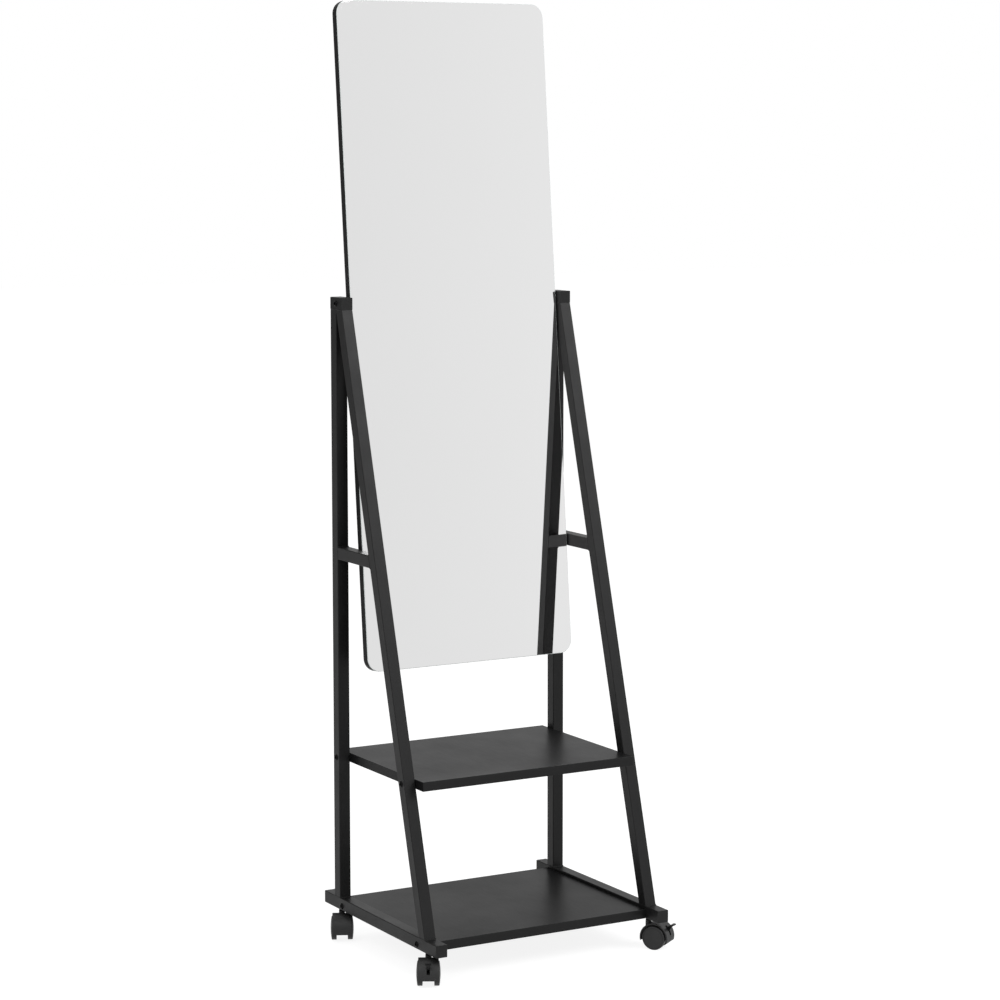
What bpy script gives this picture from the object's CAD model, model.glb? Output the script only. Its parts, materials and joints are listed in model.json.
"""Finishes, welds, glass, fastenings and studio of a rolling floor mirror.

Every length is in metres unless a property says otherwise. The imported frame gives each
piece's place: +Z is up, the front faces -Y, and the origin is on the floor.
"""

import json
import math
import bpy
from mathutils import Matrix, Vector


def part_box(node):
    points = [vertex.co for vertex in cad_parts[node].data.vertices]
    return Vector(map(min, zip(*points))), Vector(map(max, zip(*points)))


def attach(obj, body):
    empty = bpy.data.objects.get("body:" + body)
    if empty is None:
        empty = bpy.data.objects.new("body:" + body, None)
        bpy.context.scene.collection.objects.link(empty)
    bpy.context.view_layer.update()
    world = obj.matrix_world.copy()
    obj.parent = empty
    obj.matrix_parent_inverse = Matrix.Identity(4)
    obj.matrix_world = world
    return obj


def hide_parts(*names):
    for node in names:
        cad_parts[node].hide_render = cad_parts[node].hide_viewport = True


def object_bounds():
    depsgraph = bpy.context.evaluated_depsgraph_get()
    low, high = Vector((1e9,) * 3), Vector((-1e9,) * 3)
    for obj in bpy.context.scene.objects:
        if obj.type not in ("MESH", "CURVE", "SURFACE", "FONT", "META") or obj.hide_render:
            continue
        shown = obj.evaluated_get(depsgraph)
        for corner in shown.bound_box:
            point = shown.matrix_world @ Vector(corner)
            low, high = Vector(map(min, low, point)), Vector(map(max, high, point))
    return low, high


bl_info = {
    "name": "Rolling Floor Mirror",
    "version": (1, 0, 0),
    "blender": (4, 5, 0),
    "location": "View3D > Sidebar > Floor Mirror",
    "description": "Dresses a tilting mirror on a wheeled tube frame and sets up its studio",
    "category": "Add Mesh",
}

import bmesh
import bpy
from mathutils import Matrix, Vector

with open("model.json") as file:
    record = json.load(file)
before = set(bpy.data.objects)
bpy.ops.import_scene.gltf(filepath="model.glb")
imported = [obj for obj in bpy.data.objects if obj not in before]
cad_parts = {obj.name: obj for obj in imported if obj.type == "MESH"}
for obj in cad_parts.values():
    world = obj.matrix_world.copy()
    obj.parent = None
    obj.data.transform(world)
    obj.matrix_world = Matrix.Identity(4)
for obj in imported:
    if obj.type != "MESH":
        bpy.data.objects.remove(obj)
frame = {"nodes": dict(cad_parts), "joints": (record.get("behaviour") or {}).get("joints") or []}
NODES = frame["nodes"]
JOINTS = {joint["name"]: joint for joint in frame["joints"]}
CAD_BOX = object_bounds()

SIDES = ("left", "right")
CORNERS = ("rear_left", "rear_right", "front_left", "front_right")
BRAKED = ("front_left", "front_right")
TUBES = ("rear_post", "front_leg", "top_tube", "mid_bar", "base_rail")
SHARP = math.radians(32)
FLAT = math.radians(0.3)
MERGE = 1e-6
WHITE = (1.0, 1.0, 1.0, 1.0)

# Each lamp's place and its sides' length. The studio setting of the same name is its power.
LAMPS = {
    "key": ((-3.2, -1.6, 3.4), 2.4),
    "fill": ((1.9, -3.0, 3.2), 1.8),
    "top": ((0.3, 1.6, 4.2), 2.6),
}


def middle(node):
    """The centre of a CAD node's box."""
    lowest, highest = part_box(node)
    return (lowest + highest) / 2


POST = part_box("left_rear_post")
TUBE_SIDE = POST[1].x - POST[0].x


# ---- settings


def number(name, default, description, **limits):
    """A property for a number that isn't negative."""
    return bpy.props.FloatProperty(
        name=name, description=description, default=default, min=0.0, **limits
    )


def length(name, default, description):
    """A property for a length in metres."""
    return number(name, default, description, precision=5, unit="LENGTH")


def share(name, default, description):
    """A property from 0 to 1."""
    return number(name, default, description, max=1.0, subtype="FACTOR")


def triple(name, default, description, **limits):
    """A property for three numbers."""
    return bpy.props.FloatVectorProperty(
        name=name, description=description, default=default, **limits
    )


def colour(name, default, thing):
    """A property for the linear colour of a thing."""
    return triple(name, default, f"Colour of {thing}", min=0.0, max=1.0, subtype="COLOR")


class FramePaint(bpy.types.PropertyGroup):
    """Sizes and colours of the coated tubes, their welds and their end caps."""

    coat_colour: colour("Coat colour", (0.0085, 0.0085, 0.0087), "the powder coat")
    coat_roughness: share("Coat roughness", 0.42, "Roughness of the powder coat")
    coat_gloss: share("Coat gloss", 0.22, "Specular level of the powder coat")
    grain: length("Grain", 0.0007, "Width of the powder coat's fine grains")
    grain_depth: length("Grain depth", 12e-6, "Height of the fine grains")
    peel: length("Peel", 0.0035, "Width of the coat's soft waves")
    peel_depth: length("Peel depth", 16e-6, "Height of the soft waves")
    bead: length("Weld bead", 0.0014, "Radius of the weld beads")
    bead_inset: length("Bead inset", 0.0010, "Distance of a bead's line inside a flush side")
    ripple: length("Ripple", 0.0017, "Pitch of the ripples along a bead")
    swell: share("Swell", 0.12, "How much a bead swells at its ripples")
    cap_colour: colour("Cap colour", (0.0065, 0.0065, 0.0066), "the end caps")
    cap_edge: length("Cap edge", 0.0006, "Radius on the edges of the end caps")


class BoardFinish(bpy.types.PropertyGroup):
    """Sizes and colours of the laminated shelves and of the mirror's backing board."""

    laminate_colour: colour("Laminate colour", (0.007, 0.007, 0.0072), "the shelves")
    laminate_roughness: share("Laminate roughness", 0.37, "Roughness of the shelves' laminate")
    laminate_gloss: share("Laminate gloss", 0.1, "Specular level of the laminate")
    pore: length("Pore", 0.0012, "Width of the laminate's embossed pores")
    pore_depth: length("Pore depth", 10e-6, "Depth of the embossed pores")
    band: length("Edge band", 0.0008, "Thickness of the edge band")
    band_proud: length("Band proud", 0.00012, "Height of the edge band above the board's faces")
    backing_colour: colour("Backing", (0.0075, 0.0075, 0.0075), "the mirror's board")
    board_edge: length("Board edge", 0.0006, "Radius on the backing board's edges")


class GlassFinish(bpy.types.PropertyGroup):
    """Sizes and colours of the mirror's glass."""

    silver: colour("Silver", (0.9, 0.9, 0.9), "the silvered face")
    arris_colour: colour("Arris colour", (0.66, 0.7, 0.69), "the ground line")
    side_colour: colour("Side", (0.003, 0.0034, 0.0033), "the sealed glass edge")
    arris: length("Arris", 0.0008, "Width of the ground line around the glass's face")


class HardwareFinish(bpy.types.PropertyGroup):
    """Sizes and colours of the bolts, the inserts and the mirror's pivots."""

    steel_colour: colour("Black steel", (0.002, 0.002, 0.0021), "the black bolts")
    steel_roughness: share("Black steel roughness", 0.24, "Roughness of the black bolts")
    brass_colour: colour("Brass", (0.63, 0.45, 0.17), "the threaded inserts")
    zinc_colour: colour("Zinc", (0.56, 0.57, 0.58), "the plated nuts, axles and pins")
    nylon_colour: colour("White nylon", (0.72, 0.71, 0.67), "the bushes and spacers")
    rim: length("Head rim", 0.0004, "Height of the upright rim under a bolt head's dome")
    head_height: length("Head height", 0.0033, "Height of a bolt's head")
    socket: length("Socket", 0.004, "Width of a bolt's socket across its flats")
    socket_depth: length("Socket depth", 0.002, "Depth of a bolt's socket")
    shank: length("Shank", 0.006, "Diameter of a bolt's shank")
    thread_pitch: length("Thread pitch", 0.001, "Pitch of a bolt's thread")


class CasterFinish(bpy.types.PropertyGroup):
    """Sizes and colours of the casters and their brake levers."""

    hood_colour: colour("Hood colour", (0.0135, 0.0135, 0.0137), "the hoods")
    hood_roughness: share("Hood roughness", 0.5, "Roughness of the hoods")
    wheel_colour: colour("Wheel colour", (0.0145, 0.0145, 0.0147), "the wheels")
    wheel_roughness: share("Wheel roughness", 0.46, "Roughness of the wheels")
    lever_colour: colour("Lever colour", (0.0045, 0.0045, 0.0046), "the brake levers")
    lever_roughness: share("Lever roughness", 0.4, "Roughness of the brake levers")
    edge: length("Edge", 0.0003, "Radius on the hoods' and levers' moulded edges")
    bore: length("Bore", 0.00255, "Radius of a wheel's bore")
    hub: length("Hub", 0.0055, "Radius of a wheel's hub")
    rim: length("Rim", 0.003, "Thickness of a wheel's rim")
    cover: length("Cover", 0.0057, "Thickness of a wheel's cover at its edge")
    dome: length("Dome", 0.0016, "Height of the dome on a wheel's cover")
    tread_corner: length("Tread corner", 0.0013, "Radius on a tread's outer edge")
    tread_heel: length("Tread heel", 0.0006, "Radius on a tread's inner edge")
    groove: length("Groove", 0.0005, "Width and depth of the ring groove in a wheel's cover")
    spark: length("Spark grain", 0.0005, "Width of the mould's spark-eroded grain")
    spark_depth: length("Spark depth", 12e-6, "Height of the spark-eroded grain")


class StudioSettings(bpy.types.PropertyGroup):
    """Floor, wall, sky, lamps and camera."""

    floor_colour: colour("Floor colour", (0.86, 0.86, 0.86), "the floor")
    wall_colour: colour("Wall colour", (0.8, 0.8, 0.8), "the wall before the mirror")
    sky: number("Sky", 0.5, "Strength of the light from all round")
    key: number("Key", 50, "Power of the lamp at the upper left", unit="POWER")
    fill: number("Fill", 72, "Power of the lamp at the upper right", unit="POWER")
    top: number("Top", 25, "Power of the lamp overhead", unit="POWER")
    camera_place: triple(
        "Camera place",
        (-2.2924, -4.0428, 1.3154),
        "Where the camera stands",
        subtype="TRANSLATION",
        unit="LENGTH",
    )
    camera_turn: triple(
        "Camera turn",
        [math.radians(angle) for angle in (-6.464, -0.05, -29.678)],
        "Elevation, roll and heading of the camera",
        subtype="EULER",
        unit="ROTATION",
    )
    lens: number("Lens", 104.285, "Focal length in millimetres")
    shift: bpy.props.FloatProperty(
        name="Shift", description="The lens's vertical shift", default=-0.035
    )


class FloorMirror(bpy.types.PropertyGroup):
    """All settings of the mirror."""

    paint: bpy.props.PointerProperty(type=FramePaint)
    boards: bpy.props.PointerProperty(type=BoardFinish)
    glass: bpy.props.PointerProperty(type=GlassFinish)
    hardware: bpy.props.PointerProperty(type=HardwareFinish)
    casters: bpy.props.PointerProperty(type=CasterFinish)
    studio: bpy.props.PointerProperty(type=StudioSettings)


# ---- node helpers


def titled(name):
    """A value's name as the label of its socket."""
    return name.replace("_", " ").title()


def feed(tree, node, values):
    """Sets or links a node's inputs by name or number."""
    for key, value in values.items():
        socket = node.inputs[key]
        if isinstance(value, bpy.types.NodeSocket):
            tree.links.new(value, socket)
        else:
            socket.default_value = value


def put(tree, kind, values=None, **props):
    """Adds a node, sets its properties and feeds its inputs."""
    node = tree.nodes.new(kind)
    for name, value in props.items():
        setattr(node, name, value)
    feed(tree, node, values or {})
    return node


def result(tree, kind, values=None, **props):
    """The first output of a new node."""
    return put(tree, kind, values, **props).outputs[0]


def maths(tree, operation, *values):
    """A Math node's result."""
    return result(tree, "ShaderNodeMath", dict(enumerate(values)), operation=operation)


def vector(tree, **parts):
    """A vector made of its parts X, Y and Z. A part that isn't given is 0."""
    return result(tree, "ShaderNodeCombineXYZ", parts)


def parts_of(tree, place):
    """The parts X, Y and Z of a vector."""
    return put(tree, "ShaderNodeSeparateXYZ", {0: place}).outputs


def scaled(tree, start, factor):
    """A vector or a colour times a number."""
    return result(tree, "ShaderNodeVectorMath", {0: start, "Scale": factor}, operation="SCALE")


def ranged(tree, value, from_low, from_high, to_low, to_high):
    """A value moved from one range into another, and held inside it."""
    ends = {"From Min": from_low, "From Max": from_high, "To Min": to_low, "To Max": to_high}
    return result(tree, "ShaderNodeMapRange", {"Value": value, **ends})


def noise(tree, place, size, detail=2.0, roughness=0.5):
    """Noise whose grains are as wide as size."""
    values = {"Vector": place, "Scale": maths(tree, "DIVIDE", 1.0, size)}
    values.update({"Detail": detail, "Roughness": roughness})
    return result(tree, "ShaderNodeTexNoise", values)


def swing(tree, field, amount):
    """A noise's usual range, from 0.3 to 0.7, as a swing to both sides of 0."""
    return ranged(tree, field, 0.3, 0.7, -amount, amount)


# ---- shared effects


def grain_height(tree, given):
    """Height of a surface that has fine grains on soft waves."""
    fine = noise(tree, given["Vector"], given["Grain"], detail=3.0, roughness=0.6)
    wave = noise(tree, given["Vector"], given["Wave"], detail=1.0)
    fine_part = maths(tree, "MULTIPLY", fine, given["Grain Depth"])
    wave_part = maths(tree, "MULTIPLY", wave, given["Wave Depth"])
    return maths(tree, "ADD", fine_part, wave_part)


def drifting_tone(tree, given):
    """A colour that drifts a little, as pigment and dust make it."""
    broad = noise(tree, given["Vector"], given["Tone Size"], detail=4.0, roughness=0.55)
    factor = maths(tree, "MULTIPLY_ADD", swing(tree, broad, 1.0), given["Tone"], 1.0)
    return scaled(tree, given["Colour"], factor)


def handling_haze(tree, given):
    """A roughness that handling and cleaning have changed in soft patches and fine streaks."""
    patch_share, streak_share, thinning = 0.7, 0.3, 0.12
    patches = noise(tree, given["Vector"], given["Haze Size"], detail=3.0)
    values = {0: given["Vector"], 1: (1.0, thinning, thinning)}
    drawn_out = result(tree, "ShaderNodeVectorMath", values, operation="MULTIPLY")
    streaks = swing(tree, noise(tree, drawn_out, given["Streak"]), streak_share)
    both = maths(tree, "ADD", swing(tree, patches, patch_share), streaks)
    return maths(tree, "MULTIPLY_ADD", both, given["Haze"], given["Roughness"])


# How an effect is built, what it gives, and the parts of a look that it takes.
EFFECTS = {
    "Grain on soft waves": (grain_height, "Height", ("grain", "grain_depth", "wave", "wave_depth")),
    "Drifting tone": (drifting_tone, "Colour", ("colour", "tone", "tone_size")),
    "Handling haze": (handling_haze, "Roughness", ("roughness", "haze", "haze_size", "streak")),
}

# The usual look, and how each material differs from it. A width or depth is in metres.
USUAL = dict(
    grain=0.0006, grain_depth=10e-6, wave=0.004, wave_depth=10e-6, tone=0.12, tone_size=0.05,
    haze=0.05, haze_size=0.03, streak=0.004, metallic=0.0, specular=0.5,
)
GROUND = dict(grain_depth=4e-6, wave=0.01, tone=0.05, haze=0.04)
METAL = dict(
    grain=0.0003, grain_depth=4e-6, tone=0.08, tone_size=0.004, haze=0.06, haze_size=0.004,
)
MOULDED = dict(wave=0.005, tone=0.1, tone_size=0.015, haze=0.06, haze_size=0.012, specular=0.42)
LOOKS = {
    "Powder coat": dict(tone=0.14, tone_size=0.08, haze_size=0.05),
    "Cap plastic": dict(
        roughness=0.46, grain=0.0005, grain_depth=12e-6, tone=0.1, specular=0.28,
    ),
    "Shelf laminate": dict(
        wave=0.012, wave_depth=15e-6, tone=0.08, tone_size=0.12, haze=0.035, haze_size=0.09,
    ),
    "Edge band": dict(
        roughness=0.44, grain=0.0009, grain_depth=8e-6, wave=0.02, wave_depth=20e-6,
        tone=0.06, specular=0.22,
    ),
    "Silvered glass": dict(
        roughness=0.012, grain=0.004, grain_depth=0.0, wave=0.25, wave_depth=0.0,
        tone=0.004, tone_size=0.3, haze=0.006, haze_size=0.12, metallic=1.0,
    ),
    "Ground glass arris": dict(GROUND, roughness=0.3, specular=0.6),
    "Sealed glass edge": dict(GROUND, roughness=0.35, specular=0.08),
    "Backing board": dict(
        roughness=0.48, grain=0.0011, grain_depth=12e-6, tone=0.1, tone_size=0.15,
        haze_size=0.1, specular=0.2,
    ),
    "Black bolt steel": dict(METAL, tone=0.2, specular=0.08),
    "Insert brass": dict(METAL, roughness=0.3, grain_depth=5e-6, haze_size=0.003, metallic=1.0),
    "Zinc plate": dict(METAL, roughness=0.32, tone_size=0.005, haze=0.07, metallic=1.0),
    "White nylon": dict(
        roughness=0.45, grain=0.0004, grain_depth=6e-6, tone=0.03, tone_size=0.006,
        haze_size=0.004, specular=0.45,
    ),
    "Caster nylon": MOULDED,
    "Wheel nylon": MOULDED,
    "Lever nylon": dict(MOULDED, specular=0.25),
}


def effect(name):
    """The shader node group of an effect that several materials share, built once."""
    if name in bpy.data.node_groups:
        return bpy.data.node_groups[name]
    build, output, parts = EFFECTS[name]
    tree = bpy.data.node_groups.new(name, "ShaderNodeTree")
    tree.interface.new_socket("Vector", in_out="INPUT", socket_type="NodeSocketVector")
    for label, way in (*((titled(part), "INPUT") for part in parts), (output, "OUTPUT")):
        kind = "NodeSocketColor" if label == "Colour" else "NodeSocketFloat"
        tree.interface.new_socket(label, in_out=way, socket_type=kind)
    given = tree.nodes.new("NodeGroupInput").outputs
    put(tree, "NodeGroupOutput", {0: build(tree, given)})
    return tree


def finish_material(name, base, **chosen):
    """A procedural material: drifting tone, handling haze and a grain of true bump height."""
    look = {**USUAL, **LOOKS[name], **chosen, "colour": (*base, 1.0)}
    material = bpy.data.materials.new(name)
    material.use_nodes = True
    tree = material.node_tree
    place = put(tree, "ShaderNodeTexCoord").outputs["Object"]
    shared = {}
    for effect_name, (_, output, parts) in EFFECTS.items():
        values = {titled(part): look[part] for part in parts}
        group = put(tree, "ShaderNodeGroup", node_tree=effect(effect_name))
        feed(tree, group, {"Vector": place, **values})
        shared[output] = group.outputs[0]
    values = {
        "Base Color": shared["Colour"],
        "Roughness": shared["Roughness"],
        "Normal": result(tree, "ShaderNodeBump", {"Height": shared["Height"], "Distance": 1.0}),
        "Metallic": look["metallic"],
        "Specular IOR Level": look["specular"],
    }
    feed(tree, tree.nodes["Principled BSDF"], values)
    return material


# ---- mesh helpers


def link(name, data, *materials):
    """A new object at the origin that holds the data and wears the materials."""
    for material in materials:
        data.materials.append(material)
    piece = bpy.data.objects.new(name, data)
    bpy.context.scene.collection.objects.link(piece)
    return piece


def settle(work, mesh, sharp=SHARP):
    """Writes finished work into a mesh: smooth, but sharp where faces meet at a larger angle."""
    work.to_mesh(mesh)
    work.free()
    mesh.shade_smooth()
    mesh.set_sharp_from_angle(angle=sharp)
    return mesh


def whole_copy(node, name, *materials):
    """A merged copy of a CAD node, with its flat faces made whole and its sharp edges marked."""
    source = NODES[node].data
    work = bmesh.new()
    places = [work.verts.new(v.co) for v in source.vertices]
    for polygon in source.polygons:
        try:
            work.faces.new([places[i] for i in polygon.vertices])
        except ValueError:
            continue
    bmesh.ops.remove_doubles(work, verts=work.verts[:], dist=MERGE)
    bmesh.ops.dissolve_degenerate(work, edges=work.edges[:], dist=MERGE)
    bmesh.ops.dissolve_limit(
        work, angle_limit=FLAT, verts=work.verts[:], edges=work.edges[:], delimit={"NORMAL"}
    )
    return link(name, settle(work, bpy.data.meshes.new(name)), *materials)


def rounded_copy(node, name, material, radius, segments=3):
    """A copy of a CAD node whose sharp edges are rounded and whose flat faces stay flat."""
    piece = whole_copy(node, name, material)
    bevel = piece.modifiers.new("round edges", "BEVEL")
    bevel.width = radius
    bevel.segments = segments
    bevel.limit_method = "ANGLE"
    bevel.angle_limit = SHARP
    bevel.harden_normals = True
    return piece


def finish(piece, body, slot, *nodes):
    """Puts a finished piece on its body, in the place of the CAD nodes that it stands for."""
    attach(piece, body)
    if nodes:
        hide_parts(*nodes)


def paint(node, material):
    """Gives a CAD node its material."""
    slots = NODES[node].data.materials
    slots.clear()
    slots.append(material)


# ---- geometry node helpers


def shape_tree(name, numbers, vectors=()):
    """A geometry tree that takes a start mesh, the named numbers and vectors, and a material.
    Gives the tree and its input sockets."""
    tree = bpy.data.node_groups.new(name, "GeometryNodeTree")
    kinds = {"Geometry": "NodeSocketGeometry"}
    kinds.update(dict.fromkeys(numbers, "NodeSocketFloat"))
    kinds.update(dict.fromkeys(vectors, "NodeSocketVector"))
    kinds["Material"] = "NodeSocketMaterial"
    for label, kind in kinds.items():
        tree.interface.new_socket(label, in_out="INPUT", socket_type=kind)
    tree.interface.new_socket("Geometry", in_out="OUTPUT", socket_type="NodeSocketGeometry")
    return tree, tree.nodes.new("NodeGroupInput").outputs


def shape(tree, kind, values=None, **props):
    """The first output of a new geometry node."""
    return result(tree, f"GeometryNode{kind}", values, **props)


def raised(tree, geometry, height):
    """Geometry moved along Z."""
    return shape(tree, "Transform", {"Geometry": geometry, "Translation": vector(tree, Z=height)})


def facing(tree, direction):
    """The rotation that turns Z towards a direction."""
    return result(tree, "FunctionNodeAlignRotationToVector", {"Vector": direction}, axis="Z")


def close_tree(tree, geometry, given):
    """Ends a tree: sharp edges stay sharp, instances become real, and the material is set."""
    angle = shape(tree, "InputMeshEdgeAngle")
    soft = result(tree, "FunctionNodeCompare", {"A": angle, "B": SHARP}, operation="LESS_THAN")
    real = shape(tree, "RealizeInstances", {"Geometry": geometry})
    faces = shape(tree, "SetShadeSmooth", {"Geometry": real}, domain="FACE")
    values = {"Geometry": faces, "Shade Smooth": soft}
    edges = shape(tree, "SetShadeSmooth", values, domain="EDGE")
    done = shape(tree, "SetMaterial", {"Geometry": edges, "Material": given["Material"]})
    put(tree, "NodeGroupOutput", {0: done})
    return tree


def grown(name, mesh, tree, values):
    """A plain mesh object that a geometry tree grows from a start mesh."""
    piece = link(name, mesh)
    modifier = piece.modifiers.new("shape", "NODES")
    modifier.node_group = tree
    for item in tree.interface.items_tree:
        if item.item_type == "SOCKET" and item.in_out == "INPUT" and item.name in values:
            modifier[item.identifier] = values[item.name]
    view = bpy.context.evaluated_depsgraph_get()
    plain = bpy.data.meshes.new_from_object(piece.evaluated_get(view))
    plain.name = name
    piece.modifiers.remove(modifier)
    piece.data = plain
    return piece


def face_outwards(mesh):
    """Drops a mesh's loose edges and turns its faces outwards."""
    work = bmesh.new()
    work.from_mesh(mesh)
    loose = [edge for edge in work.edges if not edge.link_faces]
    bmesh.ops.delete(work, geom=loose, context="EDGES")
    bmesh.ops.recalc_face_normals(work, faces=work.faces[:])
    work.to_mesh(mesh)
    work.free()


def lines_mesh(name, lines):
    """A mesh of loose edges along lines. A line is its points and whether it closes."""
    mesh = bpy.data.meshes.new(name)
    points, edges = [], []
    for line, closed in lines:
        first = len(points)
        points += line
        edges += [(first + i, first + i + 1) for i in range(len(line) - 1)]
        if closed:
            edges.append((len(points) - 1, first))
    mesh.from_pydata(points, edges, [])
    return mesh


def quarter(across, up, radius, start, steps=5):
    """A quarter circle round a centre, from an angle in degrees towards greater ones."""
    angles = [math.radians(start + 90 * i / steps) for i in range(steps + 1)]
    return [(across + radius * math.cos(a), up + radius * math.sin(a)) for a in angles]


# ---- side frames


class MIRROR_OT_coat_frames(bpy.types.Operator):
    """Give the tubes of both side frames their powder coat"""

    bl_idname = "floor_mirror.coat_frames"
    bl_label = "Coat side frames"

    def execute(self, context):
        settings = context.scene.floor_mirror.paint
        coat = finish_material(
            "Powder coat",
            settings.coat_colour,
            roughness=settings.coat_roughness,
            grain=settings.grain,
            grain_depth=settings.grain_depth,
            wave=settings.peel,
            wave_depth=settings.peel_depth,
            specular=settings.coat_gloss,
        )
        for side in SIDES:
            for tube in TUBES:
                paint(f"{side}_{tube}", coat)
        return {"FINISHED"}


def bead_tree():
    """A weld bead along each line: a round section that swells and shrinks with its ripples."""
    steps_per_ripple = 6.0
    sides = 10
    patch = 0.006
    tree, given = shape_tree("Weld bead", ("Radius", "Ripple", "Swell"))
    curve = shape(tree, "MeshToCurve", {"Mesh": given["Geometry"]})
    step = maths(tree, "DIVIDE", given["Ripple"], steps_per_ripple)
    curve = shape(tree, "ResampleCurve", {"Curve": curve, "Length": step}, mode="LENGTH")
    along = put(tree, "GeometryNodeSplineParameter").outputs["Length"]
    turn = maths(tree, "MULTIPLY", maths(tree, "DIVIDE", along, given["Ripple"]), math.tau)
    wave = maths(tree, "ABSOLUTE", maths(tree, "SINE", maths(tree, "DIVIDE", turn, 2.0)))
    uneven = noise(tree, shape(tree, "InputPosition"), patch, detail=1.0)
    both = maths(tree, "SUBTRACT", maths(tree, "ADD", wave, uneven), 1.0)
    scale = maths(tree, "MULTIPLY_ADD", both, given["Swell"], 1.0)
    section = shape(tree, "CurvePrimitiveCircle", {"Resolution": sides, "Radius": given["Radius"]})
    values = {"Curve": curve, "Profile Curve": section, "Scale": scale, "Fill Caps": True}
    return close_tree(tree, shape(tree, "CurveToMesh", values), given)


def weld_lines(side, settings):
    """The lines along which one side frame's tubes are welded."""
    post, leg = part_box(f"{side}_rear_post"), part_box(f"{side}_front_leg")
    bar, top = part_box(f"{side}_mid_bar"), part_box(f"{side}_top_tube")
    share_out = 0.15
    out = settings.bead * share_out
    x_mid = middle(f"{side}_rear_post").x
    x_low = x_mid - TUBE_SIDE / 2 + settings.bead_inset
    x_high = x_mid + TUBE_SIDE / 2 - settings.bead_inset
    front_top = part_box("top_end_caps")[0].y
    slope = (front_top - leg[0].y) / (leg[1].z - leg[0].z)
    depth = TUBE_SIDE * math.hypot(1.0, slope)
    foot_z = post[0].z - out
    notch_z = leg[0].z + (post[0].y - leg[0].y - depth) / slope - settings.bead
    bar_low, bar_high = bar[0].z - out, bar[1].z + out
    bar_ring = ((x_low, bar_low), (x_high, bar_low), (x_high, bar_high), (x_low, bar_high))

    def foot_ring(y_front, y_rear):
        corners = ((x_low, y_front), (x_high, y_front), (x_high, y_rear), (x_low, y_rear))
        return [(x, y, foot_z) for x, y in corners]

    def leg_rear(z):
        return leg[0].y + depth + (z - leg[0].z) * slope

    return [
        (foot_ring(post[0].y - out, post[1].y + out), True),
        (foot_ring(leg[0].y - out, leg[0].y + depth + out), True),
        ([(x, bar[1].y - out, z) for x, z in bar_ring], True),
        ([(x, leg_rear(z) + out, z) for x, z in bar_ring], True),
        ([(x_low, end.y, top[0].z + out) for end in top], False),
        ([(x_high, end.y, top[0].z + out) for end in top], False),
        ([(x, post[0].y - out, notch_z) for x in (x_low, x_high)], False),
    ]


class MIRROR_OT_weld_beads(bpy.types.Operator):
    """Lay a weld bead where the tubes of each side frame meet"""

    bl_idname = "floor_mirror.weld_beads"
    bl_label = "Weld beads"

    def execute(self, context):
        settings = context.scene.floor_mirror.paint
        tree = bead_tree()
        values = {
            "Radius": settings.bead,
            "Ripple": settings.ripple,
            "Swell": settings.swell,
            "Material": bpy.data.materials["Powder coat"],
        }
        for side in SIDES:
            name = f"{side}_weld_beads"
            beads = grown(name, lines_mesh(name, weld_lines(side, settings)), tree, values)
            finish(beads, "frame", "powder_coat")
        return {"FINISHED"}


class MIRROR_OT_end_caps(bpy.types.Operator):
    """Mould the plastic caps that close the rails and the top tubes"""

    bl_idname = "floor_mirror.end_caps"
    bl_label = "End caps"

    def execute(self, context):
        settings = context.scene.floor_mirror.paint
        plastic = finish_material("Cap plastic", settings.cap_colour)
        for node in ("rail_end_caps", "top_end_caps"):
            caps = rounded_copy(node, f"moulded_{node}", plastic, settings.cap_edge)
            finish(caps, "frame", "cap_plastic", node)
        return {"FINISHED"}


# ---- boards


def band_mesh(name, board, settings):
    """The two edge bands of a shelf: thin strips with round outer edges, a hair proud of it."""
    work = bmesh.new()
    roundness, steps = 0.6, 4
    corner = settings.band * roundness
    lowest, highest = board
    z_low, z_high = lowest.z - settings.band_proud, highest.z + settings.band_proud
    for outward, face_y in ((-1, lowest.y), (1, highest.y)):
        outer = face_y + outward * settings.band_proud
        inner = face_y - outward * settings.band
        section = [(inner, z_low)]
        for centre_z, start in ((z_low + corner, -90), (z_high - corner, 0)):
            arc = quarter(outward * outer - corner, centre_z, corner, start, steps)
            section += [(outward * y, z) for y, z in arc]
        section.append((inner, z_high))
        rings = [[work.verts.new((x, y, z)) for y, z in section] for x in (lowest.x, highest.x)]
        count = len(section)
        for i in range(count):
            j = (i + 1) % count
            work.faces.new((rings[0][i], rings[0][j], rings[1][j], rings[1][i]))
        for ring in rings:
            work.faces.new(ring)
    bmesh.ops.recalc_face_normals(work, faces=work.faces[:])
    return settle(work, bpy.data.meshes.new(name))


class MIRROR_OT_shelves(bpy.types.Operator):
    """Laminate both shelves and band their front and rear edges"""

    bl_idname = "floor_mirror.shelves"
    bl_label = "Shelves"

    def execute(self, context):
        settings = context.scene.floor_mirror.boards
        laminate = finish_material(
            "Shelf laminate",
            settings.laminate_colour,
            roughness=settings.laminate_roughness,
            grain=settings.pore,
            grain_depth=settings.pore_depth,
            specular=settings.laminate_gloss,
        )
        band = finish_material("Edge band", settings.laminate_colour)
        for node in ("upper_shelf", "lower_shelf"):
            paint(node, laminate)
            name = f"{node}_edge_bands"
            bands = link(name, band_mesh(name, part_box(node), settings), band)
            finish(bands, "frame", "shelf_laminate")
        return {"FINISHED"}


# ---- mirror


def glass_front(node):
    """The direction in which the widest face of the glass looks, towards the front."""
    widest = max(NODES[node].data.polygons, key=lambda p: p.area)
    normal = widest.normal.copy()
    return normal if normal.y < 0 else -normal


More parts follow.
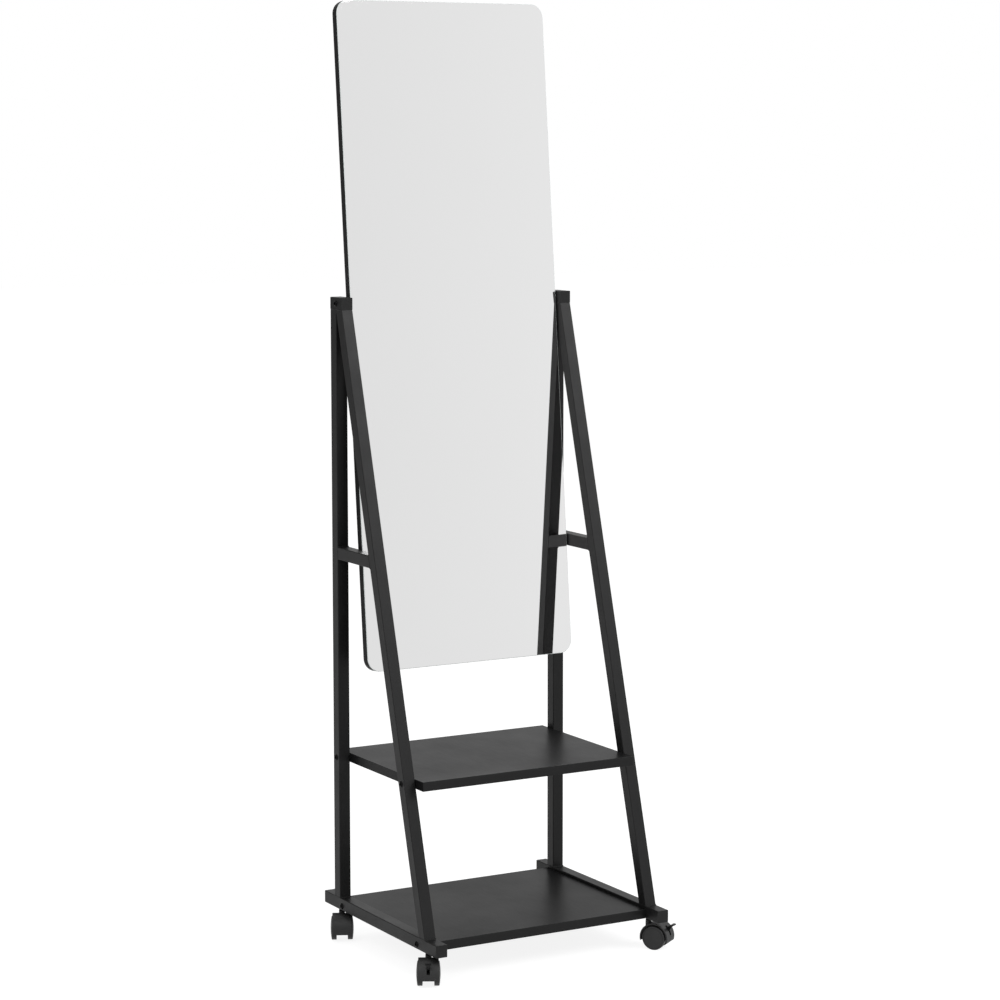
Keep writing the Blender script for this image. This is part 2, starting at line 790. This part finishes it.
def ground_arris(mesh, front, width):
    """Grinds a line around the front face. The face keeps material 0, the line gets 1 and
    the sides and the rear get 2."""
    face_slot, line_slot, side_slot = 0, 1, 2
    same_way = 0.999
    bend = math.radians(18)
    work = bmesh.new()
    work.from_mesh(mesh)
    for face in work.faces:
        face.material_index = face_slot if face.normal.dot(front) > same_way else side_slot
    rim = [e for e in work.edges if len({face.material_index for face in e.link_faces}) == 2]
    bmesh.ops.bevel(
        work, geom=rim, offset=width, segments=2, profile=0.5, affect="EDGES", material=line_slot
    )
    settle(work, mesh, bend)


class MIRROR_OT_mirror(bpy.types.Operator):
    """Make the silvered glass with its ground line and sealed edge, and the board behind it"""

    bl_idname = "floor_mirror.mirror"
    bl_label = "Mirror"

    def execute(self, context):
        settings = context.scene.floor_mirror.glass
        boards = context.scene.floor_mirror.boards
        wear = (
            finish_material("Silvered glass", settings.silver),
            finish_material("Ground glass arris", settings.arris_colour),
            finish_material("Sealed glass edge", settings.side_colour),
        )
        glass = whole_copy("mirror_glass", "silvered_mirror_glass", *wear)
        ground_arris(glass.data, glass_front("mirror_glass"), settings.arris)
        finish(glass, "mirror", "silvered_glass", "mirror_glass")

        backing = finish_material("Backing board", boards.backing_colour)
        board = rounded_copy("mirror_backing_board", "mirror_board", backing, boards.board_edge)
        finish(board, "mirror", "backing_board", "mirror_backing_board")
        return {"FINISHED"}


# ---- fastenings


def bolt_head(tree, given, parts):
    """A domed head above Z = 0 with a countersunk hex socket. parts are a point's X, Y and Z."""
    sides, rings = 48, 8
    mouth_sides, mouth_low, mouth_high, mouth_depth, mouth_place = 36, 0.7, 1.3, 0.6, -0.38
    radius = maths(tree, "DIVIDE", given["Head Diameter"], 2.0)
    values = {"Vertices": sides, "Side Segments": 1, "Fill Segments": rings}
    values.update({"Radius": radius, "Depth": given["Rim"]})
    head = shape(tree, "MeshCylinder", values)
    squares = [maths(tree, "POWER", parts[axis], 2.0) for axis in "XY"]
    away = maths(tree, "SQRT", maths(tree, "ADD", *squares))
    fall = maths(tree, "POWER", maths(tree, "DIVIDE", away, radius), 2.0)
    rise = maths(tree, "SUBTRACT", given["Head Height"], given["Rim"])
    dome = maths(tree, "MULTIPLY", maths(tree, "SUBTRACT", 1.0, fall), rise)
    above = {"A": parts["Z"], "B": 0.0}
    on_top = result(tree, "FunctionNodeCompare", above, operation="GREATER_THAN")
    values = {"Geometry": head, "Selection": on_top, "Offset": vector(tree, Z=dome)}
    head = shape(tree, "SetPosition", values)
    head = raised(tree, head, maths(tree, "DIVIDE", given["Rim"], 2.0))

    corner = maths(tree, "DIVIDE", given["Socket"], 2 * math.cos(math.radians(30)))
    depth = maths(tree, "MULTIPLY", given["Socket Depth"], 2.0)
    hexagon = shape(tree, "MeshCylinder", {"Vertices": 6, "Radius": corner, "Depth": depth})
    sizes = {"Radius Bottom": mouth_low, "Radius Top": mouth_high, "Depth": mouth_depth}
    values = {label: maths(tree, "MULTIPLY", corner, size) for label, size in sizes.items()}
    mouth = shape(tree, "MeshCone", {"Vertices": mouth_sides, **values})
    mouth = raised(tree, mouth, maths(tree, "MULTIPLY", corner, mouth_place))
    for cutter in (hexagon, mouth):
        cut = {"Mesh 1": head, "Mesh 2": raised(tree, cutter, given["Head Height"])}
        head = shape(tree, "MeshBoolean", cut, operation="DIFFERENCE", solver="EXACT")
    return head


def bolt_shank(tree, given, parts):
    """A threaded shank below Z = 0: every other ring of its points is drawn inwards."""
    sides, thread = 32, -0.1
    half_pitch = maths(tree, "DIVIDE", given["Thread Pitch"], 2.0)
    rings = maths(tree, "DIVIDE", given["Shank Length"], half_pitch)
    values = {
        "Vertices": sides,
        "Side Segments": result(tree, "FunctionNodeFloatToInt", {0: rings}),
        "Radius": maths(tree, "DIVIDE", given["Shank"], 2.0),
        "Depth": given["Shank Length"],
    }
    shank = shape(tree, "MeshCylinder", values)
    ring = maths(tree, "ROUND", maths(tree, "DIVIDE", parts["Z"], half_pitch))
    ridge = maths(tree, "ABSOLUTE", maths(tree, "MODULO", ring, 2.0))
    outwards = vector(tree, X=parts["X"], Y=parts["Y"])
    inwards = scaled(tree, outwards, maths(tree, "MULTIPLY", ridge, thread))
    shank = shape(tree, "SetPosition", {"Geometry": shank, "Offset": inwards})
    return raised(tree, shank, maths(tree, "DIVIDE", given["Shank Length"], -2.0))


def bolt_tree():
    """A button-head bolt on each point, with its head away from the object's middle."""
    head_sizes = ("Head Diameter", "Head Height", "Rim", "Socket", "Socket Depth")
    shank_sizes = ("Shank", "Shank Length", "Thread Pitch")
    tree, given = shape_tree("Button-head bolt", head_sizes + shank_sizes)
    parts = parts_of(tree, shape(tree, "InputPosition"))
    bolt = put(tree, "GeometryNodeJoinGeometry")
    for part in (bolt_head(tree, given, parts), bolt_shank(tree, given, parts)):
        tree.links.new(part, bolt.inputs[0])
    turn = facing(tree, vector(tree, X=maths(tree, "SIGN", parts["X"])))
    points = shape(tree, "MeshToPoints", {"Mesh": given["Geometry"]})
    values = {"Points": points, "Instance": bolt.outputs[0], "Rotation": turn}
    return close_tree(tree, shape(tree, "InstanceOnPoints", values), given)


def bolt_places(node, head_height):
    """Where the bolts' heads sit, and their head diameter and shank length, from a CAD node."""
    apart = 0.03
    slack = 1.001
    spots = [v.co for v in NODES[node].data.vertices]
    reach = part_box(node)[1].x
    clusters = []
    for point in spots:
        if abs(point.x) <= reach - head_height * slack:
            continue
        near = [c for c in clusters if (c[0] - point).length < apart]
        if near:
            near[0].append(point)
        else:
            clusters.append([point])
    places = []
    diameter = 0.0
    for cluster in clusters:
        ys, zs = [p.y for p in cluster], [p.z for p in cluster]
        diameter = max(diameter, max(ys) - min(ys))
        side = math.copysign(reach - head_height, cluster[0].x)
        places.append((side, (min(ys) + max(ys)) / 2, (min(zs) + max(zs)) / 2))
    return places, diameter, reach - head_height - min(abs(p.x) for p in spots)


class MIRROR_OT_bolts(bpy.types.Operator):
    """Fit the button-head bolts of the shelves and of the mirror's pivots"""

    bl_idname = "floor_mirror.bolts"
    bl_label = "Bolts"

    def execute(self, context):
        settings = context.scene.floor_mirror.hardware
        roughness = settings.steel_roughness
        steel = finish_material("Black bolt steel", settings.steel_colour, roughness=roughness)
        sizes = ("head_height", "rim", "socket", "socket_depth", "shank", "thread_pitch")
        values = {titled(size): getattr(settings, size) for size in sizes}
        values["Material"] = steel
        tree = bolt_tree()
        bodies = {"upper_shelf_bolts": "frame", "lower_shelf_bolts": "frame", "pivot_bolts": "mirror"}
        for node, body in bodies.items():
            places, diameter, shank_length = bolt_places(node, settings.head_height)
            values.update({"Head Diameter": diameter, "Shank Length": shank_length})
            name = node.replace("bolts", "button_head_bolts")
            start = bpy.data.meshes.new(name)
            start.from_pydata(places, [], [])
            finish(grown(name, start, tree, values), body, "black_bolt_steel", node)
        return {"FINISHED"}


class MIRROR_OT_pivot_fittings(bpy.types.Operator):
    """Finish the inserts, bushes, spacers, weld nuts, axles and brake pins"""

    bl_idname = "floor_mirror.pivot_fittings"
    bl_label = "Inserts, bushes and nuts"

    def execute(self, context):
        settings = context.scene.floor_mirror.hardware
        for name, base, ends in (
            ("Insert brass", settings.brass_colour, ("_inserts",)),
            ("White nylon", settings.nylon_colour, ("pivot_bushes", "pivot_spacers")),
            ("Zinc plate", settings.zinc_colour, ("_weld_nuts", "_caster_axle", "_brake_pin")),
        ):
            material = finish_material(name, base)
            for node in NODES:
                if node.endswith(ends):
                    paint(node, material)
        return {"FINISHED"}


# ---- casters


def moulded(name, base, roughness, settings):
    """Nylon from a spark-eroded mould."""
    spark = {"grain": settings.spark, "grain_depth": settings.spark_depth}
    return finish_material(name, base, roughness=roughness, **spark)


def wheel_tree():
    """A wheel turned from its section: the start mesh is a closed line of points, each at its
    distance from the axle along X and its distance outwards along Z."""
    sides = 96
    tree, given = shape_tree("Turned wheel", ("Core",), ("Centre", "Outward"))
    section = shape(tree, "MeshToCurve", {"Mesh": given["Geometry"]})
    away = vector(tree, X=maths(tree, "MULTIPLY", given["Core"], -1.0))
    section = shape(tree, "Transform", {"Geometry": section, "Translation": away})
    parts = parts_of(tree, shape(tree, "InputPosition"))
    flat = vector(tree, X=parts["X"], Y=parts["Z"])
    section = shape(tree, "SetPosition", {"Geometry": section, "Position": flat})
    path = shape(tree, "CurvePrimitiveCircle", {"Resolution": sides, "Radius": given["Core"]})
    wheel = shape(tree, "CurveToMesh", {"Curve": path, "Profile Curve": section})
    wheel = shape(tree, "MergeByDistance", {"Geometry": wheel, "Distance": MERGE})
    turn = facing(tree, given["Outward"])
    values = {"Geometry": wheel, "Translation": given["Centre"], "Rotation": turn}
    return close_tree(tree, shape(tree, "Transform", values), given)


def wheel_section(node, centre, outward, settings):
    """A wheel's section as distances from the axle and outwards, within its CAD solid."""
    groove_place, bore_place, rings = 0.87, 0.75, 9
    spots = []
    for vertex in NODES[node].data.vertices:
        offset = vertex.co - centre
        away = offset.dot(outward)
        spots.append(((offset - outward * away).length, away))
    radius = max(r for r, h in spots)
    face = max(h for r, h in spots)
    hub_in = min(h for r, h in spots)
    rim_in = radius - settings.rim
    tread_in = min(h for r, h in spots if r > rim_in)
    tread_out = face - settings.dome
    cover_in = tread_out - settings.cover
    bore_end = tread_out - settings.dome * bore_place
    heel, corner = settings.tread_heel, settings.tread_corner
    dome_r = radius - corner

    def on_dome(r):
        return (r, tread_out + settings.dome * (1 - (r / dome_r) ** 2))

    groove_out = on_dome(radius * groove_place)
    groove_in = on_dome(groove_out[0] - settings.groove)
    groove_floor = groove_out[1] - settings.groove
    points = [
        (settings.bore, hub_in),
        (settings.hub, hub_in),
        (settings.hub, cover_in),
        (rim_in, cover_in),
        (rim_in, tread_in),
        *quarter(radius - heel, tread_in + heel, heel, -90),
        *quarter(dome_r, tread_out - corner, corner, 0),
        groove_out,
        (groove_out[0], groove_floor),
        (groove_in[0], groove_floor),
        groove_in,
        *(on_dome(groove_in[0] * (1 - i / rings)) for i in range(1, rings)),
        (0.0, face),
        (0.0, bore_end),
        (settings.bore, bore_end),
    ]
    return [(r, 0.0, h) for r, h in points]


def turned_wheel(corner, side, tree, material, settings):
    """One caster wheel, turned about its axle, on its own body."""
    node = f"{corner}_caster_{side}_wheel"
    name = f"{corner}_{side}_turned_wheel"
    joint = JOINTS[f"{corner}_{side}_wheel_spin"]
    centre = Vector(joint["pos_m"])
    axis = Vector(joint["axis"]).normalized()
    outward = axis if (middle(node) - centre).dot(axis) > 0 else -axis
    line = lines_mesh(name, [(wheel_section(node, centre, outward, settings), True)])
    values = {"Core": settings.hub, "Centre": centre, "Outward": outward, "Material": material}
    wheel = grown(name, line, tree, values)
    face_outwards(wheel.data)
    finish(wheel, f"{corner}_{side}_wheel", "wheel_nylon", node)


class MIRROR_OT_casters(bpy.types.Operator):
    """Mould the casters' hoods and wheels, and finish their stems"""

    bl_idname = "floor_mirror.casters"
    bl_label = "Casters"

    def execute(self, context):
        settings = context.scene.floor_mirror.casters
        nylon = moulded("Caster nylon", settings.hood_colour, settings.hood_roughness, settings)
        tread = moulded("Wheel nylon", settings.wheel_colour, settings.wheel_roughness, settings)
        tree = wheel_tree()
        for corner in CORNERS:
            node = f"{corner}_caster_hood"
            hood = rounded_copy(node, f"{corner}_moulded_hood", nylon, settings.edge, segments=2)
            finish(hood, f"{corner}_caster", "caster_nylon", node)
            paint(f"{corner}_caster_stem", bpy.data.materials["Black bolt steel"])
            for side in SIDES:
                turned_wheel(corner, side, tree, tread, settings)
        return {"FINISHED"}


class MIRROR_OT_brake_levers(bpy.types.Operator):
    """Mould the brake levers of the front casters"""

    bl_idname = "floor_mirror.brake_levers"
    bl_label = "Brake levers"

    def execute(self, context):
        settings = context.scene.floor_mirror.casters
        nylon = moulded("Lever nylon", settings.lever_colour, settings.lever_roughness, settings)
        for corner in BRAKED:
            node = f"{corner}_brake_lever"
            lever = rounded_copy(node, f"{corner}_moulded_lever", nylon, settings.edge, segments=2)
            finish(lever, node, "caster_nylon", node)
        return {"FINISHED"}


# ---- studio


def shown(tree, output, hidden, seen):
    """Ends a tree: one shader lights the scene, and the other is what the eye sees, straight,
    in gloss or through glass."""
    path = put(tree, "ShaderNodeLightPath").outputs
    to_eye = maths(tree, "MAXIMUM", path["Is Camera Ray"], path["Is Glossy Ray"])
    to_eye = maths(tree, "MAXIMUM", to_eye, path["Is Transmission Ray"])
    mixed = result(tree, "ShaderNodeMixShader", {0: to_eye, 1: hidden, 2: seen})
    put(tree, output, {"Surface": mixed})


def studio_world(settings):
    """White to the eye, and a soft grey light from all round."""
    world = bpy.data.worlds.new("Studio")
    bpy.context.scene.world = world
    world.use_nodes = True
    tree = world.node_tree
    tree.nodes.clear()
    light, white = (
        result(tree, "ShaderNodeBackground", {"Color": WHITE, "Strength": strength})
        for strength in (settings.sky, 1.0)
    )
    shown(tree, "ShaderNodeOutputWorld", light, white)


def sheet(name, material_name, corners):
    """A flat sheet of the stage. Gives it and its material's tree, which is still empty."""
    material = bpy.data.materials.new(material_name)
    material.use_nodes = True
    material.node_tree.nodes.clear()
    mesh = bpy.data.meshes.new(name)
    mesh.from_pydata(corners, [], [(0, 1, 2, 3)])
    piece = link(name, mesh, material)
    return piece, material.node_tree


def studio_floor(settings):
    """A floor that is white to the eye, a shade less in gloss, and keeps the object's shadow."""
    half = 20.0
    shadow_tone = (0.3, 0.3, 0.3, 1.0)
    glow_in_gloss, more_to_camera = 0.62, 0.25
    corners = [(-half, -half, 0), (half, -half, 0), (half, half, 0), (-half, half, 0)]
    tree = sheet("floor", "Pale floor", corners)[1]
    diffuse, shadowed = (
        result(tree, "ShaderNodeBsdfDiffuse", {"Color": tone})
        for tone in ((*settings.floor_colour, 1.0), shadow_tone)
    )
    to_camera = put(tree, "ShaderNodeLightPath").outputs["Is Camera Ray"]
    lift = maths(tree, "MULTIPLY_ADD", to_camera, more_to_camera, glow_in_gloss)
    glow = result(tree, "ShaderNodeEmission", {"Color": WHITE, "Strength": lift})
    lifted = result(tree, "ShaderNodeAddShader", {0: shadowed, 1: glow})
    shown(tree, "ShaderNodeOutputMaterial", diffuse, lifted)


def gloss_panel(name, material_name, x_ends, y, height=6.0):
    """An upright glowing sheet that only gloss shows. Gives its tree, the distance across it
    and its glow."""
    first, second = x_ends
    corners = [(first, y, 0), (second, y, 0), (second, y, height), (first, y, height)]
    panel, tree = sheet(name, material_name, corners)
    panel.visible_camera = False
    panel.visible_shadow = False
    panel.visible_diffuse = False
    place = put(tree, "ShaderNodeTexCoord").outputs["Object"]
    across = parts_of(tree, place)["X"]
    glow = put(tree, "ShaderNodeEmission", {"Strength": 1.0})
    put(tree, "ShaderNodeOutputMaterial", {"Surface": glow.outputs[0]})
    return tree, across, glow


def studio_wall(settings):
    """A pale wall far in front of the mirror, a little brighter to the right."""
    tree, across, glow = gloss_panel("wall", "Pale wall", x_ends=(9.0, -9.0), y=-7.0)
    pool = ranged(tree, across, from_low=2.5, from_high=4.6, to_low=0.98, to_high=1.1)
    feed(tree, glow, {"Color": scaled(tree, tuple(settings.wall_colour), pool)})


def studio_card():
    """A grey card behind the object, darker on the left, for the tones of its black faces."""
    tree, across, glow = gloss_panel("card", "Grey card", x_ends=(-12.0, 12.0), y=6.0)
    tone = ranged(tree, across, from_low=-1.5, from_high=1.5, to_low=0.2, to_high=0.75)
    feed(tree, glow, {"Strength": tone})


def soft_lamp(name, place, size, watts, aim):
    """A large square lamp that looks at a point."""
    data = bpy.data.lights.new(name, "AREA")
    data.shape = "SQUARE"
    data.size = size
    data.energy = watts
    lamp = link(name, data)
    lamp.location = place
    lamp.rotation_euler = (Vector(aim) - Vector(place)).to_track_quat("-Z", "Y").to_euler()


def studio_camera(settings):
    """The camera, at the photograph's viewing angle."""
    data = bpy.data.cameras.new("camera")
    data.lens = settings.lens
    data.shift_y = settings.shift
    data.dof.use_dof = False
    camera = link("camera", data)
    elevation, roll, heading = settings.camera_turn
    look = Matrix.Rotation(heading, 4, "Z") @ Matrix.Rotation(math.pi / 2 + elevation, 4, "X")
    place = Matrix.Translation(settings.camera_place)
    camera.matrix_world = place @ look @ Matrix.Rotation(roll, 4, "Z")
    bpy.context.scene.camera = camera


class MIRROR_OT_studio(bpy.types.Operator):
    """Set up the floor, the wall before the mirror, the card, the lamps, the sky and the camera"""

    bl_idname = "floor_mirror.studio"
    bl_label = "Studio"

    def execute(self, context):
        settings = context.scene.floor_mirror.studio
        aim = (CAD_BOX[0] + CAD_BOX[1]) / 2
        studio_world(settings)
        studio_floor(settings)
        studio_wall(settings)
        studio_card()
        for name, (place, size) in LAMPS.items():
            soft_lamp(name, place, size, getattr(settings, name), aim)
        studio_camera(settings)
        context.scene.view_settings.view_transform = "Standard"
        return {"FINISHED"}


# ---- panel and start


OPERATORS = (
    MIRROR_OT_coat_frames,
    MIRROR_OT_weld_beads,
    MIRROR_OT_end_caps,
    MIRROR_OT_shelves,
    MIRROR_OT_mirror,
    MIRROR_OT_bolts,
    MIRROR_OT_pivot_fittings,
    MIRROR_OT_casters,
    MIRROR_OT_brake_levers,
    MIRROR_OT_studio,
)


class MIRROR_PT_pieces(bpy.types.Panel):
    """The floor mirror's settings and the steps that make it"""

    bl_idname = "MIRROR_PT_pieces"
    bl_label = "Floor Mirror"
    bl_space_type = "VIEW_3D"
    bl_region_type = "UI"
    bl_category = "Floor Mirror"

    def draw(self, context):
        for label in FloorMirror.__annotations__:
            group = getattr(context.scene.floor_mirror, label)
            box = self.layout.box()
            for name in group.__annotations__:
                box.prop(group, name)
        for operator in OPERATORS:
            self.layout.operator(operator.bl_idname)


GROUPS = (FramePaint, BoardFinish, GlassFinish, HardwareFinish, CasterFinish, StudioSettings)
CLASSES = (*GROUPS, FloorMirror, *OPERATORS, MIRROR_PT_pieces)


add_classes, drop_classes = bpy.utils.register_classes_factory(CLASSES)


def register():
    add_classes()
    bpy.types.Scene.floor_mirror = bpy.props.PointerProperty(type=FloorMirror)


def unregister():
    del bpy.types.Scene.floor_mirror
    drop_classes()


def main():
    """Makes every piece in order."""
    register()
    for operator in OPERATORS:
        area, name = operator.bl_idname.split(".")
        getattr(getattr(bpy.ops, area), name)()


if __name__ == "__main__":
    main()
